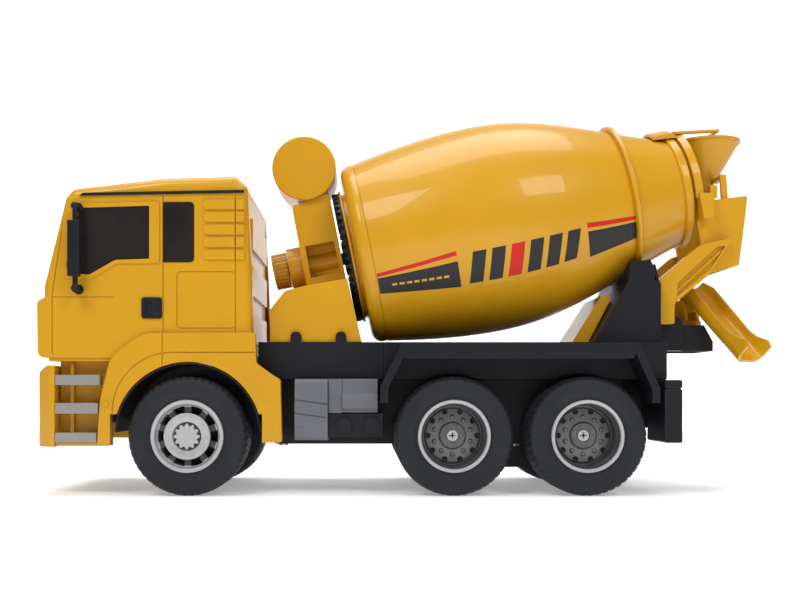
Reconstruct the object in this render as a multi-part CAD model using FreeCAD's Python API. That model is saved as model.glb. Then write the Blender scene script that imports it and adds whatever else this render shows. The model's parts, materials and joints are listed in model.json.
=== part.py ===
import FreeCAD, Part
import math
import os

# Toy cement mixer truck. Millimetres; the cab faces -X, +Z is up and the tyres stand on Z = 0.

# ---- driving dimensions ----
WHEEL_R = 27.0                 # tyre outer radius
TYRE_W = 24.0
BEAD_R = 16.6                  # where tyre and rim meet
TRACK_OUT = 52.5               # outer face of every wheel from the centre plane
FRONT_X = -101.4               # the three axles
MID_X = 18.9
REAR_X = 79.05
AXLE_R = 2.0
STUB_R = 2.5                   # front stub axles
RUN_GAP = 0.06                 # radial clearance of a turning fit
WALL = 2.0                     # moulded wall thickness

KINGPIN_Y = 33.0
KINGPIN_R = 1.5
ARM_X = 16.0                   # steering arm length behind the kingpin
ARM_IN = 8.5                   # and how far inboard its end lies
HORN_LENGTH = 15.0

TUB_HALF = 26.5                # half-widths and heights of the chassis
DECK_HALF = 35.0
TUB_Z0, TUB_Z1 = 22.5, 52.8
DECK_Z0, DECK_Z1 = 53.0, 70.3
TAIL_Z1 = 79.5                 # top of the block that carries the chute
TUB_X0, TUB_X1 = -64.0, 100.0
DECK_X0, DECK_X1 = -71.0, 119.4

CAB_HALF = 48.0                # upper cab; the arches and doorsteps stand out to ARCH_HALF
ARCH_HALF = 50.0
ARCH_R = 33.6

DRUM_X, DRUM_Z = -20.8, 115.8  # a point on the drum's axis; distances along the drum start here
DRUM_TILT = 11.4               # degrees, rising towards the rear
RING_T, RING_R = 127.6, 38.2   # support flange: distance along the axis, and radius
ROLLER_R = 5.5
GEAR_R = 32.0                  # crown gear
GEAR_TEETH = 48
PINION_TEETH = 16

FUNNEL_Z1 = 171.4              # top of the feed funnel
CHUTE_X, CHUTE_Z = 139.2, 90.0  # swivel axis, and height of the tilt pin
CHUTE_PIN_R = 2.5
CHUTE_YAW = 55.0               # degrees towards the left side from straight back
CHUTE_SLOPE = 46.0             # degrees down

V = FreeCAD.Vector
X_AXIS, Y_AXIS, Z_AXIS = V(1, 0, 0), V(0, 1, 0), V(0, 0, 1)
ORIGIN = V(0, 0, 0)


# ---- helpers ----
def box(x0, x1, y0, y1, z0, z1):
    return Part.makeBox(x1 - x0, y1 - y0, z1 - z0, V(x0, y0, z0))


def cylinder(base, axis, radius, length):
    return Part.makeCylinder(radius, length, base, axis)


def tube(base, axis, outer, inner, length):
    return cylinder(base, axis, outer, length).cut(cylinder(base, axis, inner, length))


def fuse(first, *rest):
    return first.fuse(list(rest)).removeSplitter()


def outline(corners, place):
    """Closed wire through corners (u, v) or (u, v, radius); place turns (u, v) into a point."""
    count = len(corners)
    edges = []
    starts, ends, arcs = [], [], []
    for i, corner in enumerate(corners):
        here = V(corner[0], corner[1], 0)
        before = V(*corners[i - 1][:2], 0)
        after = V(*corners[(i + 1) % count][:2], 0)
        radius = corner[2] if len(corner) > 2 else 0
        if radius:
            back, ahead = (before - here).normalize(), (after - here).normalize()
            half = back.getAngle(ahead) / 2
            reach = radius / math.tan(half)
            middle = here + (back + ahead).normalize() * (radius / math.sin(half) - radius)
            starts.append(here + back * reach)
            ends.append(here + ahead * reach)
            arcs.append(middle)
        else:
            starts.append(here)
            ends.append(here)
            arcs.append(None)
    for i in range(count):
        if arcs[i] is not None:
            edges.append(Part.Arc(place(starts[i]), place(arcs[i]), place(ends[i])).toShape())
        following = starts[(i + 1) % count]
        if (following - ends[i]).Length > 1e-6:
            edges.append(Part.LineSegment(place(ends[i]), place(following)).toShape())
    return Part.Wire(edges)


def plate(corners, y0, y1):
    """Prism across Y with its outline in X and Z."""
    face = Part.Face(outline(corners, lambda p: V(p.x, y0, p.y)))
    return face.extrude(V(0, y1 - y0, 0))


def slab(corners, z0, z1):
    """Prism up Z with its outline in X and Y."""
    face = Part.Face(outline(corners, lambda p: V(p.x, p.y, z0)))
    return face.extrude(V(0, 0, z1 - z0))


def panel(corners, x0, x1):
    """Prism along X with its outline in Y and Z."""
    face = Part.Face(outline(corners, lambda p: V(x0, p.x, p.y)))
    return face.extrude(V(x1 - x0, 0, 0))


def rounded(x0, x1, z0, z1, radius):
    """Rectangle with four rounded corners, as an outline's corners."""
    return [(x0, z0, radius), (x1, z0, radius), (x1, z1, radius), (x0, z1, radius)]


def mirrored(shape):
    return shape.mirror(ORIGIN, Y_AXIS)


def both_sides(shape):
    return [shape, mirrored(shape)]


def turned(corners):
    """Solid of revolution about Z from an outline in (height, radius)."""
    face = Part.Face(outline(corners, lambda p: V(p.y, 0, p.x)))
    return face.revolve(ORIGIN, Z_AXIS, 360)


def around(count, shape, first=0.0):
    """Copies of a shape turned about Z."""
    copies = []
    for i in range(count):
        copy = shape.copy()
        copy.rotate(ORIGIN, Z_AXIS, first + 360.0 * i / count)
        copies.append(copy)
    return copies


def write(name, *solids):
    shape = solids[0] if len(solids) == 1 else Part.makeCompound(list(solids))
    if len(solids) == 1 and len(shape.Solids) == 1:
        shape = shape.Solids[0]
    shape.exportStep("parts/" + name + ".step")
    return shape


os.makedirs("parts", exist_ok=True)


# ---- wheels: made about Z from the inner face (height 0) to the outer face, then laid on an axle ----
def on_axle(shape, axle_x, side):
    """side is -1 for the left of the truck (-Y), 1 for the right."""
    placed = shape.copy()
    placed.rotate(ORIGIN, X_AXIS, 90)
    placed.translate(V(axle_x, -(TRACK_OUT - TYRE_W), WHEEL_R))
    return placed if side < 0 else mirrored(placed)


def tyre():
    shoulder, bulge = 4.5, 0.6
    body = turned([(1.0, BEAD_R), (TYRE_W - 1.4, BEAD_R), (TYRE_W - bulge, BEAD_R + 1.6, 1.2),
                   (TYRE_W, 21.5, 3.0), (TYRE_W - 0.4, WHEEL_R, shoulder), (0.4, WHEEL_R, shoulder),
                   (0, 21.5, 3.0), (bulge, BEAD_R + 1.6, 1.2)])
    grooves = [tube(V(0, 0, level), Z_AXIS, WHEEL_R + 1, WHEEL_R - 1.1, 1.2) for level in (6.6, 11.4, 16.2)]
    return body.cut(grooves)


def front_rim():
    disc_top, disc_r, ring_in = TYRE_W - 0.2, 10.75, 13.75
    barrel = turned([(1.5, 14.4), (TYRE_W - 3, 14.4), (TYRE_W - 2.2, ring_in), (TYRE_W - 0.4, ring_in),
                     (TYRE_W, 14.4, 0.4), (TYRE_W - 0.6, BEAD_R - 0.01), (1.5, BEAD_R - 0.01)])
    disc = turned([(disc_top - 5, 0), (disc_top - 5, 14.6), (disc_top - 2.2, 14.6), (disc_top - 2.2, disc_r),
                   (disc_top, disc_r - 0.5), (disc_top, 6.35), (disc_top + 0.2, 6.35), (disc_top + 0.2, 0)])
    slot = box(disc_r - 0.1, ring_in, -2.5, 2.5, disc_top - 6, disc_top)
    boss = cylinder(V(0, 0, 9), Z_AXIS, 5.0, disc_top - 12)
    bore = cylinder(V(0, 0, 8), Z_AXIS, STUB_R + RUN_GAP, disc_top - 10)
    nuts = around(10, cylinder(V(8.7, 0, disc_top - 0.3), Z_AXIS, 0.8, 0.9))
    return fuse(barrel, disc, boss, *nuts).cut([bore] + around(10, slot, 18))


def rear_rim():
    hub_top = 11.5
    barrel = turned([(1.5, 14.2), (hub_top + 1, 13.0), (TYRE_W - 1, 14.0), (TYRE_W, 14.9, 0.5),
                     (TYRE_W - 0.6, BEAD_R - 0.01), (1.5, BEAD_R - 0.01)])
    disc = turned([(hub_top - 2.5, 0), (hub_top - 2.5, 14.4), (hub_top, 14.0), (hub_top, 6.4),
                   (hub_top + 1.6, 5.4, 0.6), (hub_top + 1.6, 2.7), (hub_top + 0.8, 2.7), (hub_top + 0.8, 0)])
    boss = cylinder(V(0, 0, 2), Z_AXIS, 4.5, hub_top - 3)
    holes = around(10, cylinder(V(11.3, 0, hub_top - 3), Z_AXIS, 1.15, 4))
    nuts = around(10, cylinder(V(8.5, 0, hub_top - 0.3), Z_AXIS, 1.0, 1.5), 18)
    bore = cylinder(V(0, 0, 1), Z_AXIS, AXLE_R, hub_top + 2)
    return fuse(barrel, disc, boss, *nuts).cut([bore] + holes)


def wheels():
    for axle, axle_x, rim in (("front", FRONT_X, front_rim()), ("mid", MID_X, rear_rim()),
                              ("rear", REAR_X, rear_rim())):
        for side, name in ((-1, "left"), (1, "right")):
            write("rim_" + axle + "_" + name, on_axle(rim, axle_x, side))
            write("tyre_" + axle + "_" + name, on_axle(tyre(), axle_x, side))


def axle_shaft(name, axle_x):
    """Steel shaft with a cross-head screw in each end."""
    half = TRACK_OUT - TYRE_W + 12.3
    shaft = cylinder(V(axle_x, -half, WHEEL_R), Y_AXIS, AXLE_R, 2 * half)
    head = cylinder(V(axle_x, -half - 1.2, WHEEL_R), Y_AXIS, 2.6, 1.2)
    cross = [box(axle_x - 1.6, axle_x + 1.6, -half - 1.3, -half - 0.5, WHEEL_R - 0.3, WHEEL_R + 0.3),
             box(axle_x - 0.3, axle_x + 0.3, -half - 1.3, -half - 0.5, WHEEL_R - 1.6, WHEEL_R + 1.6)]
    write(name, shaft, *both_sides(head.cut(cross)))


# ---- steering ----
def front_beam():
    beam = box(FRONT_X - 4, FRONT_X + 4, -24.5, 24.5, 21.5, 32.2)
    hollow = box(FRONT_X - 2, FRONT_X + 2, -20, 20, 20, 29)
    arms = []
    for low in (WHEEL_R - 8.8, WHEEL_R + 5.8):
        arm = slab([(FRONT_X - 3, -KINGPIN_Y - 3, 2.9), (FRONT_X + 3, -KINGPIN_Y - 3, 2.9),
                    (FRONT_X + 3, -22), (FRONT_X - 3, -22)], low, low + 3)
        arms += both_sides(arm)
    risers = both_sides(box(FRONT_X - 3, FRONT_X + 3, -25, -22, WHEEL_R - 8.8, WHEEL_R + 8.8))
    holes = both_sides(cylinder(V(FRONT_X, -KINGPIN_Y, 10), Z_AXIS, KINGPIN_R + RUN_GAP, 34))
    write("front_beam", fuse(beam.cut(hollow), *arms, *risers).cut(holes))


def knuckle():
    """Left knuckle: block, kingpin, stub axle and slotted steering arm."""
    block = box(FRONT_X - 4, FRONT_X + 4, -36.6, -29.5, WHEEL_R - 5.6, WHEEL_R + 5.6)
    pin = cylinder(V(FRONT_X, -KINGPIN_Y, WHEEL_R - 8.8), Z_AXIS, KINGPIN_R, 17.6)
    stub = cylinder(V(FRONT_X, -49.5, WHEEL_R), Y_AXIS, STUB_R, 15)
    end_y = -KINGPIN_Y + ARM_IN
    arm = slab([(FRONT_X + 3, -33), (FRONT_X + 8.5, -29.4), (FRONT_X + ARM_X + 4.5, end_y - 3.4),
                (FRONT_X + ARM_X + 4.5, end_y + 3.4), (FRONT_X + ARM_X - 6, end_y + 3.4),
                (FRONT_X + 3, -29.6)], WHEEL_R - 1.5, WHEEL_R + 1.5)
    slot = box(FRONT_X + ARM_X - 3, FRONT_X + ARM_X + 5, end_y - 1.7, end_y + 1.7, 20, 34)
    return fuse(block, pin, stub, arm).cut(slot)


def tie_rod():
    rod_x, pin_y = FRONT_X + ARM_X, KINGPIN_Y - ARM_IN
    bar = slab(rounded(rod_x - 3, rod_x + 3, -pin_y - 3, pin_y + 3, 2.8), 29.2, 31.6)
    pins = both_sides(cylinder(V(rod_x, -pin_y, 25.0), Z_AXIS, 1.2, 4.4))
    slot = slab(rounded(rod_x - 2.3, rod_x + 2.3, -1.45, 1.45, 1.4), 28, 33)
    write("tie_rod", fuse(bar, *pins).cut(slot))


def steering_servo():
    rod_x = FRONT_X + ARM_X
    shaft_x = rod_x + HORN_LENGTH
    case = box(shaft_x - 13, shaft_x + 7, -7, 7, 34.6, 49.5)
    ears = box(shaft_x - 16, shaft_x + 10, -7, 7, 44, 46)
    well = cylinder(V(shaft_x, 0, 33), Z_AXIS, 1.5 + RUN_GAP, 8)
    write("steering_servo", fuse(case, ears).cut(well))
    hub = cylinder(V(shaft_x, 0, 25.6), Z_AXIS, 3.4, 3.0)
    lever = box(rod_x, shaft_x, -1.8, 1.8, 25.6, 28.6)
    tip = cylinder(V(rod_x, 0, 25.6), Z_AXIS, 1.8, 3.0)
    pin = cylinder(V(rod_x, 0, 28), Z_AXIS, 1.2, 3.4)
    shaft = cylinder(V(shaft_x, 0, 28), Z_AXIS, 1.5, 12)
    write("servo_horn", fuse(hub, lever, tip, pin, shaft))


# ---- chassis and rear drive ----
DRIVE_GEAR_TEETH, DRIVE_PINION_TEETH, DRIVE_MODULE = 24, 10, 0.8
DRIVE_PITCH_GAP = 0.2
DRIVE_ANGLE = 120.0            # direction of the motor from the mid axle, degrees from +X towards +Z
DRIVE_Y0, DRIVE_Y1 = -14.0, -10.0
BATTERY_X0, BATTERY_X1 = -56.0, -6.0
SCREW_PLACES = [(-60.5, -20), (-60.5, 20), (-2.0, -20), (-2.0, 20), (50.0, -23.3), (50.0, 23.3)]


def spur_gear(teeth, module, thickness):
    """Straight-sided gear about Z, its first tooth on +X."""
    pitch = 2 * math.pi / teeth
    root, tip = module * (teeth / 2 - 1.15), module * (teeth / 2 + 0.9)
    corners = []
    for i in range(teeth):
        for radius, offset in ((root, -0.24), (tip, -0.10), (tip, 0.10), (root, 0.24)):
            angle = (i + offset) * pitch
            corners.append((radius * math.cos(angle), radius * math.sin(angle)))
    return slab(corners, 0, thickness)


def motor_place():
    reach = DRIVE_MODULE * (DRIVE_GEAR_TEETH + DRIVE_PINION_TEETH) / 2 + DRIVE_PITCH_GAP
    angle = math.radians(DRIVE_ANGLE)
    return MID_X + reach * math.cos(angle), WHEEL_R + reach * math.sin(angle)


def rear_drive():
    """Axle gear on the mid axle, and the motor with its pinion in mesh beside it."""
    motor_x, motor_z = motor_place()
    gear = spur_gear(DRIVE_GEAR_TEETH, DRIVE_MODULE, DRIVE_Y1 - DRIVE_Y0)
    gear = gear.cut(cylinder(V(0, 0, -1), Z_AXIS, AXLE_R, 10))
    gear.rotate(ORIGIN, X_AXIS, 90)
    gear.rotate(ORIGIN, Y_AXIS, -DRIVE_ANGLE)
    gear.translate(V(MID_X, DRIVE_Y1, WHEEL_R))
    write("axle_gear", gear)
    pinion = spur_gear(DRIVE_PINION_TEETH, DRIVE_MODULE, DRIVE_Y1 - DRIVE_Y0)
    pinion.rotate(ORIGIN, X_AXIS, 90)
    pinion.rotate(ORIGIN, Y_AXIS, -DRIVE_ANGLE + 180 + 180.0 / DRIVE_PINION_TEETH)
    pinion.translate(V(motor_x, DRIVE_Y1, motor_z))
    spindle = cylinder(V(motor_x, DRIVE_Y1 - 1, motor_z), Y_AXIS, 1.0, 10)
    write("drive_pinion", fuse(pinion, spindle))
    can = cylinder(V(motor_x, -8, motor_z), Y_AXIS, 8.5, 25)
    nose = cylinder(V(motor_x, -9, motor_z), Y_AXIS, 3.0, 1)
    well = cylinder(V(motor_x, -10, motor_z), Y_AXIS, 1.0 + RUN_GAP, 11)
    write("drive_motor", fuse(can, nose).cut(well))


def chassis_tub():
    rail = box(-150, TUB_X0 + 1, -16, 16, 32.4, 50)
    rail_hollow = box(-148, TUB_X0 + 3, -14, 14, 34.4, 51)
    body = box(TUB_X0, TUB_X1, -TUB_HALF, TUB_HALF, TUB_Z0, TUB_Z1)
    hollow = box(TUB_X0 + WALL, TUB_X1 - WALL, -TUB_HALF + WALL, TUB_HALF - WALL, TUB_Z0 + WALL, TUB_Z1 + 1)
    keel = plate([(0, 23), (4, 11, 3), (93, 11, 3), (97, 23)], -20, 20)
    keel_hollow = plate([(2.5, 25), (5.5, 13, 2), (91.5, 13, 2), (94.5, 25)], -18, 18)
    bores = [cylinder(V(axle_x, -30, WHEEL_R), Y_AXIS, AXLE_R + RUN_GAP, 60) for axle_x in (MID_X, REAR_X)]
    door = box(BATTERY_X0, BATTERY_X1, -17, 17, TUB_Z0 - 1, TUB_Z0 + WALL + 1)
    servo_hole = cylinder(V(FRONT_X + ARM_X + HORN_LENGTH, 0, 30), Z_AXIS, 3.5, 6)
    switch_slot = slab(rounded(62, 72, -3, 3, 1), 10, 14)
    screw_holes = [cylinder(V(x, y, TUB_Z0 - 1), Z_AXIS, 1.2, 5) for x, y in SCREW_PLACES]
    bosses = [cylinder(V(x, y, TUB_Z0), Z_AXIS, 3.0, 23.5) for x, y in SCREW_PLACES]
    body = fuse(body, keel, rail).cut([hollow, keel_hollow, rail_hollow])
    body = fuse(body, *bosses)
    write("chassis_tub", body.cut(bores + [door, servo_hole, switch_slot] + screw_holes))


def battery_and_board():
    cover = box(BATTERY_X0 + 0.2, BATTERY_X1 - 0.2, -16.8, 16.8, TUB_Z0 + 0.1, TUB_Z0 + 1.9)
    ribs = [box(BATTERY_X0 + 8 + 4 * i, BATTERY_X0 + 9.6 + 4 * i, -10, 10, TUB_Z0 - 0.4, TUB_Z0 + 0.2)
            for i in range(5)]
    write("battery_cover", fuse(cover, *ribs))
    cells = []
    for row in range(2):
        for column in range(2):
            centre = V(-55, -7.6 + 15.2 * row, 32.3 + 14.6 * column)
            cells.append(cylinder(centre, X_AXIS, 7.15, 48))
            cells.append(cylinder(centre + V(48, 0, 0), X_AXIS, 2.6, 1.2))
    write("battery_pack", *cells)
    board = box(30, 88, -20, 20, 46, 47.6)
    chips = [box(38, 50, -8, 8, 47.6, 49.4), box(58, 64, -12, -2, 47.6, 49), box(70, 80, 4, 14, 47.6, 51)]
    posts = [box(x, x + 4, y, y + 6.5, 42, 46) for x in (32, 82) for y in (-24.5, 18)]
    write("control_board", fuse(board, *chips, *posts))
    thumb = box(64, 67.5, -2, 2, 11.2, 15.4)
    flange = box(62.2, 69.3, -4.6, 4.6, 13.3, 14.6)
    write("power_switch", fuse(thumb, flange))
    heads = []
    for x, y in SCREW_PLACES:
        head = cylinder(V(x, y, TUB_Z0 - 1.0), Z_AXIS, 2.3, 1.0)
        cross = [box(x - 1.6, x + 1.6, y - 0.3, y + 0.3, TUB_Z0 - 1.1, TUB_Z0 - 0.4),
                 box(x - 0.3, x + 0.3, y - 1.6, y + 1.6, TUB_Z0 - 1.1, TUB_Z0 - 0.4)]
        heads.append(head.cut(cross).fuse(cylinder(V(x, y, TUB_Z0 - 0.3), Z_AXIS, 1.1, 4)))
    write("screws", *heads)


def chassis_deck():
    body = box(DECK_X0, DECK_X1, -DECK_HALF, DECK_HALF, DECK_Z0, DECK_Z1)
    hollow = box(DECK_X0 + WALL, DECK_X1 - WALL, -DECK_HALF + WALL, DECK_HALF - WALL, DECK_Z0 - 1, DECK_Z1 - WALL)
    seam = fuse(box(-12.8, -12.2, -DECK_HALF, -DECK_HALF + 0.5, DECK_Z0, DECK_Z1),
                box(-12.8, -12.2, DECK_HALF - 0.5, DECK_HALF, DECK_Z0, DECK_Z1))
    notch = box(0, 1.6, -DECK_HALF - 1, -DECK_HALF + 0.6, DECK_Z1 - 2.2, DECK_Z1 - 1.2)
    notches = []
    for i in range(16):
        copy = notch.copy()
        copy.translate(V(24 + 5.2 * i, 0, 0))
        notches += both_sides(copy)
    tabs = []
    for x in (-56, -35):
        tabs += both_sides(plate([(x, 64), (x + 5, 64), (x + 5, 75.2, 2.4), (x, 75.2, 2.4)],
                                 -DECK_HALF, -DECK_HALF + 1.7))
    block = box(-12, -6, -12, 12, DECK_Z1 - 1, 71.3)
    tail = plate([(DECK_X1 - 1.2, 66.9), (DECK_X1 - 1.2, TAIL_Z1), (143.6, TAIL_Z1), (147.9, 71.6), (147.9, 66.9)],
                 -14, 14)
    rib = box(DECK_X0 + 1, DECK_X1 - 1, -1, 1, DECK_Z0 + 0.1, DECK_Z1 - 1)
    tail_hollow = box(DECK_X1 + 1, DECK_X1 + 27, -12.5, 12.5, 66, 69.5)
    step = plate([(DECK_X1 - 1.2, 66.9), (DECK_X1 + 12, 66.9), (DECK_X1 + 12, 81.0, 1), (DECK_X1 + 6, 86.0, 2),
                  (DECK_X1 - 1.2, 86.0)], -19.8, 19.8)
    wheel_room = [cylinder(V(axle_x, -40, WHEEL_R), Y_AXIS, WHEEL_R + 1.6, 80) for axle_x in (MID_X, REAR_X)]
    peg_hole = cylinder(V(CHUTE_X, 0, 60), Z_AXIS, CHUTE_PIN_R + RUN_GAP, 30)
    shaft_hole = slab(rounded(-40, -18, -9, 9, 3), 60, 72)
    body = fuse(body.cut(hollow), rib, block, tail, step, *tabs)
    write("chassis_deck", body.cut([seam, tail_hollow, peg_hole, shaft_hole] + wheel_room + notches))


def side_fittings():
    """Fuel tank, equipment box and air tanks, alike on both sides."""
    outer, inner = -47.5, -28.0
    tank = panel([(outer + 1.6, 25, 2.5), (inner, 25), (inner, 53), (outer + 1.6, 53, 2.5), (outer, 45, 4),
                  (outer, 33, 4)], -53.3, -38.3)
    grooves = [box(-54, -38, outer - 1, outer + 0.5, z, z + 0.7) for z in (30, 36, 42, 48)]
    for groove in grooves:
        groove.rotate(V(-45.8, 0, 39), Y_AXIS, 8)
    write("fuel_tanks", *both_sides(tank.cut(grooves)))
    shelf = box(-38.0, -31.6, -45.5, inner, 37.4, 53)
    case = panel([(-46, 37.6, 0.6), (inner, 37.6), (inner, 53), (-46, 53, 0.8), (-46, 46.3), (-47.4, 44.5, 0.6),
                  (-47.4, 39.4, 0.6), (-46, 39.2)], -31.5, -15.6)
    write("side_boxes", *both_sides(fuse(shelf, case)))
    rack = box(-38.2, -13.2, -45, inner, 26.5, 37.2)
    ends = [cylinder(V(x, -47.6, 31.8), Y_AXIS, 3.3, 4) for x in (-31, -18.2)]
    caps = [cylinder(V(x, -48.2, 31.8), Y_AXIS, 1.4, 2) for x in (-31, -18.2)]
    write("air_tanks", *both_sides(fuse(rack, *ends, *caps)))


def fenders():
    outer, inner = -52.5, -35.2
    path = [(-14.3, 42.1), (-14.3, 49.6), (-4.7, 68.9, 2), (102.2, 68.9, 2), (111.3, 48.7), (111.3, 42.1)]
    under = [(-10.9, 41), (-10.9, 48.9), (-2.6, 65.5), (100.1, 65.5), (107.9, 47.9), (107.9, 41)]
    guard = plate(path, outer, inner).cut(plate(under, outer - 1, inner + 1))
    lip = plate([(-5.6, 65.7), (101.0, 65.7), (99.5, 62.1), (-3.0, 62.1)], outer, outer + 1.6)
    write("rear_fenders", *both_sides(fuse(guard, lip)))
    flap = plate([(113.6, 24.1, 1), (121.4, 24.1, 1), (121.4, 52.4, 1), (113.6, 52.4, 1)], outer + 0.5, -23)
    groove = box(113, 122, outer, -22, 48.1, 48.9).cut(box(114.1, 120.9, outer + 1, -23.5, 48, 49))
    stay = box(DECK_X1 - 6, DECK_X1 - 0.2, -34, -28, 50, DECK_Z0)
    write("mud_flaps", *both_sides(fuse(flap.cut(groove), stay)))


# ---- cab ----
CAB_SIDE = [(-169.7, 62.6, 3), (-170.0, 88.0, 2), (-167.6, 89.4), (-167.6, 95.0, 6), (-157.6, 135.7, 4),
            (-154.0, 139.6, 4), (-112.5, 144.4, 80), (-80.5, 145.4, 2), (-75.0, 140.5, 2), (-73.0, 100, 30),
            (-72.0, 62.6)]
CAB_HOLLOW = [(-166.0, 61.0), (-166.0, 94.0), (-155.5, 134.5, 3), (-152.5, 137.4, 3), (-112.5, 142.2, 80),
              (-81.0, 143.2, 2), (-77.4, 139.6, 1), (-75.0, 100, 30), (-71.0, 61.0)]
FRONT_WINDOW = [(-150.5, 130.4, 2), (-119.0, 131.4, 0.8), (-119.0, 107.3, 0.8), (-134.5, 106.8, 5),
                (-146.0, 100.2, 4), (-155.4, 100.6, 2.5), (-156.6, 104.5, 2)]
REAR_WINDOW = [(-112.8, 133.1, 0.6), (-98.8, 133.1, 1.8), (-98.8, 105.8, 1.8), (-112.8, 105.8, 0.6)]
RIB_COUNT, RIB_TOP_Z, RIB_PITCH = 5, 132.0, 5.7


def side_detail():
    """Left side: raised ribs and window surround, then the grooves of the door and the locker."""
    face = -CAB_HALF
    raised = []
    for i in range(RIB_COUNT):
        z = RIB_TOP_Z - RIB_PITCH * i
        raised.append(plate([(-94.7, z - 2.2, 2.1), (-76, z - 2.2), (-76, z + 2.2), (-94.7, z + 2.2, 2.1)],
                            face - 0.8, face + 0.5))
    surround = plate([(-152, 132.2, 3), (-114.5, 133.3, 1), (-114.5, 105.4, 1), (-134.0, 105.2, 5),
                      (-145.8, 98.2, 5), (-157, 98.6, 3), (-158.6, 104.5, 2)], face - 0.8, face + 0.5)
    raised.append(surround)
    cuts = [box(-113.1, -112.6, face - 2, face + 0.5, 73, 136), box(-80.3, -79.8, face - 2, face + 0.5, 73, 136),
            box(-163, -135, face - 2, face + 0.4, 89.9, 90.3), box(-163.4, -162.9, face - 2, face + 0.5, 64, 91.5),
            plate([(-163.4, 91.4), (-156.7, 134.5), (-156.2, 134.5), (-162.9, 91.4)], face - 2, face + 0.5)]
    locker = plate(rounded(-106.8, -79.8, 75.7, 101.8, 2.2), face - 2, face + 0.4)
    cuts.append(locker.cut(plate(rounded(-106.3, -80.3, 76.2, 101.3, 1.8), face - 3, face + 1)))
    return raised, cuts


def arch_skin():
    """Left wheel arch, belt and step housing, standing out from the cab's side."""
    flare = plate([(-142.3, 23.1, 1), (-141.0, 43.0, 25), (-136.4, 62.6, 12), (-122.0, 73.6, 16),
                   (-71.0, 73.9, 1), (-70.5, 60.1, 2), (-64.4, 55.6, 2), (-59.6, 52.5, 1.5), (-58.9, 24.2, 1)],
                  -ARCH_HALF, -ARCH_HALF + 6)
    opening = fuse(cylinder(V(FRONT_X, -60, WHEEL_R), Y_AXIS, ARCH_R, 20),
                   box(FRONT_X - ARCH_R - 1.5, FRONT_X + ARCH_R, -60, -40, 20, 37.0))
    groove = tube(V(-108.5, -ARCH_HALF - 1, 38.0), Y_AXIS, 27.15, 26.65, 1.5)
    groove = groove.common(box(-140, -108.5, -60, -40, 38, 70))
    line = box(-108.5, -71, -ARCH_HALF - 1, -ARCH_HALF + 0.5, 64.65, 65.15)
    seam = box(-113.1, -112.6, -ARCH_HALF - 1, -ARCH_HALF + 0.5, 58, 74)
    back = box(-161.3, -137.5, -41.4, -39.4, 22.6, 62)
    cheek = box(-139.6, -137.6, -46, -39.4, 23.1, 52)
    shelf = box(-161.3, -137.6, -49, -39.4, 22.6, 24.0)
    fold = box(-156, -154.4, -44, -41, 24, 60)
    boss = cylinder(V(-138.3, -ARCH_HALF - 0.5, 41.8), Y_AXIS, 1.3, 1.5)
    skin = fuse(flare.cut([opening, groove, line, seam]), boss)
    return fuse(skin, back, cheek, shelf, fold)


def cab_shell():
    shell = plate(CAB_SIDE, -CAB_HALF, CAB_HALF)
    roof_edges = [edge for edge in shell.Edges
                  if edge.BoundBox.ZMin > 139 and edge.BoundBox.YLength < 0.01]
    shell = shell.makeFillet(4.0, roof_edges)
    shell = shell.cut(plate(CAB_HOLLOW, -CAB_HALF + WALL, CAB_HALF - WALL))
    back_hole = box(-78, -70, -41, 41, 64.5, 138)
    windscreen = box(-175, -150, -42, 42, 99.5, 133.5)
    raised, cuts = side_detail()
    for window in (FRONT_WINDOW, REAR_WINDOW):
        cuts.append(plate(window, -CAB_HALF - 3, -CAB_HALF + WALL + 1))
    handle = plate(rounded(-122.6, -113.3, 80.3, 89.9, 1.2), -CAB_HALF - 3, -CAB_HALF + 0.9)
    cuts.append(handle)
    shell = fuse(shell, *raised, *[mirrored(piece) for piece in raised])
    shell = shell.cut(cuts + [mirrored(piece) for piece in cuts] + [back_hole, windscreen])
    floor = box(-165, -71.5, -47, 47, 61.0, 63.4)
    post = box(-147, -135, -12, 12, 50, 62)
    sill = fuse(floor, post, *both_sides(arch_skin()))
    grille_gap = [box(-171, -166.5, -38, 38, z, z + 1.4) for z in (67, 71, 75, 79, 83)]
    write("cab_shell", fuse(shell, sill).cut(grille_gap))


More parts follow.
